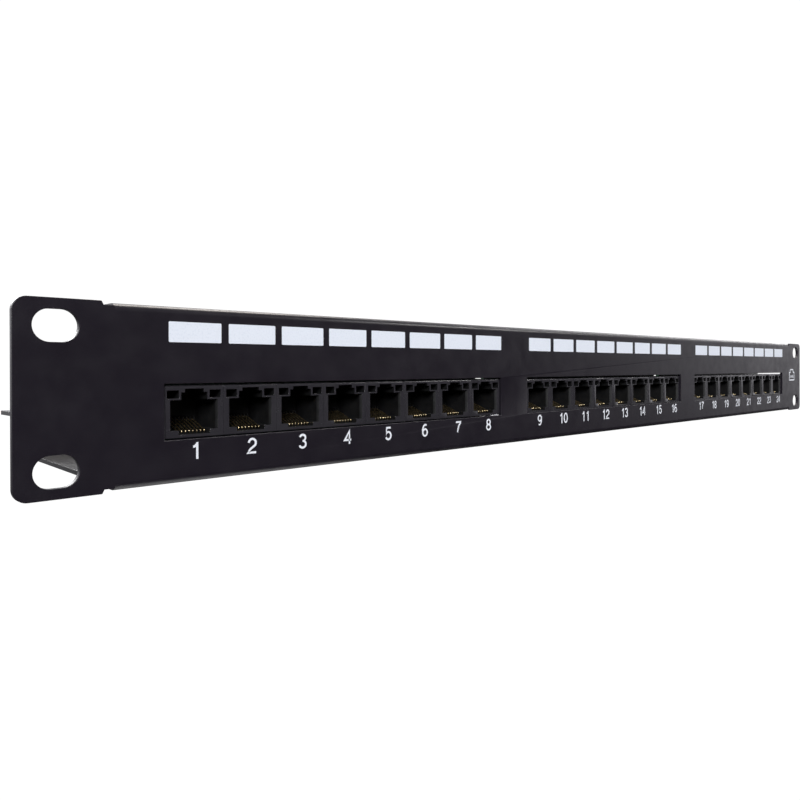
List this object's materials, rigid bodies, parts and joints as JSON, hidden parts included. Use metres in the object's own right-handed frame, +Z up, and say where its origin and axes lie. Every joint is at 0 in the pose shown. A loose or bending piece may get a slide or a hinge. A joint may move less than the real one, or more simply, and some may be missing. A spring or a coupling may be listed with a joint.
{
  "type": "patch panel",
  "caption": "Rack patch panel: sockets behind long windows in a folded steel panel, wire blocks and a cable tie bar behind.",
  "frame": {"origin": "centre of the rack mounting plane, which is the rear face of the two ears, midway between the four rack slots", "axes": "+X to the right as seen from the front, +Y to the rear, +Z up; the sockets face -Y"},
  "size_m": [0.4826, 0.0767, 0.0438],
  "materials": {
    "powder_coat": "satin powder coat",
    "jack_plastic": "moulded",
    "gold_contact": "gold-plated spring wire",
    "board_laminate": "solder mask over glass laminate",
    "block_plastic": "moulded",
    "tinned_blade": "tin plate",
    "zinc_steel": "zinc plate",
    "manager_steel": "satin powder coat"
  },
  "bodies": {
    "panel": {"front_panel": "powder_coat", "jack_housing_01": "jack_plastic", "jack_housing_02": "jack_plastic", "jack_housing_03": "jack_plastic", "jack_housing_04": "jack_plastic", "jack_housing_05": "jack_plastic", "jack_housing_06": "jack_plastic", "jack_housing_07": "jack_plastic", "jack_housing_08": "jack_plastic", "jack_housing_09": "jack_plastic", "jack_housing_10": "jack_plastic", "jack_housing_11": "jack_plastic", "jack_housing_12": "jack_plastic", "jack_housing_13": "jack_plastic", "jack_housing_14": "jack_plastic", "jack_housing_15": "jack_plastic", "jack_housing_16": "jack_plastic", "jack_housing_17": "jack_plastic", "jack_housing_18": "jack_plastic", "jack_housing_19": "jack_plastic", "jack_housing_20": "jack_plastic", "jack_housing_21": "jack_plastic", "jack_housing_22": "jack_plastic", "jack_housing_23": "jack_plastic", "jack_housing_24": "jack_plastic", "circuit_board_1": "board_laminate", "circuit_board_2": "board_laminate", "circuit_board_3": "board_laminate", "wire_blocks_1": "block_plastic", "wire_blocks_2": "block_plastic", "wire_blocks_3": "block_plastic", "wire_blades": "tinned_blade", "board_standoffs": "zinc_steel", "manager_arms": "manager_steel", "tie_bar": "manager_steel", "screws": "zinc_steel"},
    "contacts_01": {"spring_contacts_01": "gold_contact"},
    "contacts_02": {"spring_contacts_02": "gold_contact"},
    "contacts_03": {"spring_contacts_03": "gold_contact"},
    "contacts_04": {"spring_contacts_04": "gold_contact"},
    "contacts_05": {"spring_contacts_05": "gold_contact"},
    "contacts_06": {"spring_contacts_06": "gold_contact"},
    "contacts_07": {"spring_contacts_07": "gold_contact"},
    "contacts_08": {"spring_contacts_08": "gold_contact"},
    "contacts_09": {"spring_contacts_09": "gold_contact"},
    "contacts_10": {"spring_contacts_10": "gold_contact"},
    "contacts_11": {"spring_contacts_11": "gold_contact"},
    "contacts_12": {"spring_contacts_12": "gold_contact"},
    "contacts_13": {"spring_contacts_13": "gold_contact"},
    "contacts_14": {"spring_contacts_14": "gold_contact"},
    "contacts_15": {"spring_contacts_15": "gold_contact"},
    "contacts_16": {"spring_contacts_16": "gold_contact"},
    "contacts_17": {"spring_contacts_17": "gold_contact"},
    "contacts_18": {"spring_contacts_18": "gold_contact"},
    "contacts_19": {"spring_contacts_19": "gold_contact"},
    "contacts_20": {"spring_contacts_20": "gold_contact"},
    "contacts_21": {"spring_contacts_21": "gold_contact"},
    "contacts_22": {"spring_contacts_22": "gold_contact"},
    "contacts_23": {"spring_contacts_23": "gold_contact"},
    "contacts_24": {"spring_contacts_24": "gold_contact"}
  },
  "joints": [
    {"name": "contacts_01_flex", "type": "hinge", "parent": "panel", "child": "contacts_01", "pos_m": [-0.2, 0.0014, -0.0092], "axis": [-1, 0, 0], "range_deg": [0, 10], "stiffness_Nm_per_rad": 0.05, "springref_deg": -5.73},
    {"name": "contacts_02_flex", "type": "hinge", "parent": "panel", "child": "contacts_02", "pos_m": [-0.184, 0.0014, -0.0092], "axis": [-1, 0, 0], "range_deg": [0, 10], "stiffness_Nm_per_rad": 0.05, "springref_deg": -5.73},
    {"name": "contacts_03_flex", "type": "hinge", "parent": "panel", "child": "contacts_03", "pos_m": [-0.168, 0.0014, -0.0092], "axis": [-1, 0, 0], "range_deg": [0, 10], "stiffness_Nm_per_rad": 0.05, "springref_deg": -5.73},
    {"name": "contacts_04_flex", "type": "hinge", "parent": "panel", "child": "contacts_04", "pos_m": [-0.152, 0.0014, -0.0092], "axis": [-1, 0, 0], "range_deg": [0, 10], "stiffness_Nm_per_rad": 0.05, "springref_deg": -5.73},
    {"name": "contacts_05_flex", "type": "hinge", "parent": "panel", "child": "contacts_05", "pos_m": [-0.136, 0.0014, -0.0092], "axis": [-1, 0, 0], "range_deg": [0, 10], "stiffness_Nm_per_rad": 0.05, "springref_deg": -5.73},
    {"name": "contacts_06_flex", "type": "hinge", "parent": "panel", "child": "contacts_06", "pos_m": [-0.12, 0.0014, -0.0092], "axis": [-1, 0, 0], "range_deg": [0, 10], "stiffness_Nm_per_rad": 0.05, "springref_deg": -5.73},
    {"name": "contacts_07_flex", "type": "hinge", "parent": "panel", "child": "contacts_07", "pos_m": [-0.104, 0.0014, -0.0092], "axis": [-1, 0, 0], "range_deg": [0, 10], "stiffness_Nm_per_rad": 0.05, "springref_deg": -5.73},
    {"name": "contacts_08_flex", "type": "hinge", "parent": "panel", "child": "contacts_08", "pos_m": [-0.088, 0.0014, -0.0092], "axis": [-1, 0, 0], "range_deg": [0, 10], "stiffness_Nm_per_rad": 0.05, "springref_deg": -5.73},
    {"name": "contacts_09_flex", "type": "hinge", "parent": "panel", "child": "contacts_09", "pos_m": [-0.056, 0.0014, -0.0095], "axis": [-1, 0, 0], "range_deg": [0, 10], "stiffness_Nm_per_rad": 0.05, "springref_deg": -5.73},
    {"name": "contacts_10_flex", "type": "hinge", "parent": "panel", "child": "contacts_10", "pos_m": [-0.04, 0.0014, -0.0095], "axis": [-1, 0, 0], "range_deg": [0, 10], "stiffness_Nm_per_rad": 0.05, "springref_deg": -5.73},
    {"name": "contacts_11_flex", "type": "hinge", "parent": "panel", "child": "contacts_11", "pos_m": [-0.024, 0.0014, -0.0095], "axis": [-1, 0, 0], "range_deg": [0, 10], "stiffness_Nm_per_rad": 0.05, "springref_deg": -5.73},
    {"name": "contacts_12_flex", "type": "hinge", "parent": "panel", "child": "contacts_12", "pos_m": [-0.008, 0.0014, -0.0095], "axis": [-1, 0, 0], "range_deg": [0, 10], "stiffness_Nm_per_rad": 0.05, "springref_deg": -5.73},
    {"name": "contacts_13_flex", "type": "hinge", "parent": "panel", "child": "contacts_13", "pos_m": [0.008, 0.0014, -0.0095], "axis": [-1, 0, 0], "range_deg": [0, 10], "stiffness_Nm_per_rad": 0.05, "springref_deg": -5.73},
    {"name": "contacts_14_flex", "type": "hinge", "parent": "panel", "child": "contacts_14", "pos_m": [0.024, 0.0014, -0.0095], "axis": [-1, 0, 0], "range_deg": [0, 10], "stiffness_Nm_per_rad": 0.05, "springref_deg": -5.73},
    {"name": "contacts_15_flex", "type": "hinge", "parent": "panel", "child": "contacts_15", "pos_m": [0.04, 0.0014, -0.0095], "axis": [-1, 0, 0], "range_deg": [0, 10], "stiffness_Nm_per_rad": 0.05, "springref_deg": -5.73},
    {"name": "contacts_16_flex", "type": "hinge", "parent": "panel", "child": "contacts_16", "pos_m": [0.056, 0.0014, -0.0095], "axis": [-1, 0, 0], "range_deg": [0, 10], "stiffness_Nm_per_rad": 0.05, "springref_deg": -5.73},
    {"name": "contacts_17_flex", "type": "hinge", "parent": "panel", "child": "contacts_17", "pos_m": [0.088, 0.0014, -0.0095], "axis": [-1, 0, 0], "range_deg": [0, 10], "stiffness_Nm_per_rad": 0.05, "springref_deg": -5.73},
    {"name": "contacts_18_flex", "type": "hinge", "parent": "panel", "child": "contacts_18", "pos_m": [0.104, 0.0014, -0.0095], "axis": [-1, 0, 0], "range_deg": [0, 10], "stiffness_Nm_per_rad": 0.05, "springref_deg": -5.73},
    {"name": "contacts_19_flex", "type": "hinge", "parent": "panel", "child": "contacts_19", "pos_m": [0.12, 0.0014, -0.0095], "axis": [-1, 0, 0], "range_deg": [0, 10], "stiffness_Nm_per_rad": 0.05, "springref_deg": -5.73},
    {"name": "contacts_20_flex", "type": "hinge", "parent": "panel", "child": "contacts_20", "pos_m": [0.136, 0.0014, -0.0095], "axis": [-1, 0, 0], "range_deg": [0, 10], "stiffness_Nm_per_rad": 0.05, "springref_deg": -5.73},
    {"name": "contacts_21_flex", "type": "hinge", "parent": "panel", "child": "contacts_21", "pos_m": [0.152, 0.0014, -0.0095], "axis": [-1, 0, 0], "range_deg": [0, 10], "stiffness_Nm_per_rad": 0.05, "springref_deg": -5.73},
    {"name": "contacts_22_flex", "type": "hinge", "parent": "panel", "child": "contacts_22", "pos_m": [0.168, 0.0014, -0.0095], "axis": [-1, 0, 0], "range_deg": [0, 10], "stiffness_Nm_per_rad": 0.05, "springref_deg": -5.73},
    {"name": "contacts_23_flex", "type": "hinge", "parent": "panel", "child": "contacts_23", "pos_m": [0.184, 0.0014, -0.0095], "axis": [-1, 0, 0], "range_deg": [0, 10], "stiffness_Nm_per_rad": 0.05, "springref_deg": -5.73},
    {"name": "contacts_24_flex", "type": "hinge", "parent": "panel", "child": "contacts_24", "pos_m": [0.2, 0.0014, -0.0095], "axis": [-1, 0, 0], "range_deg": [0, 10], "stiffness_Nm_per_rad": 0.05, "springref_deg": -5.73}
  ]
}
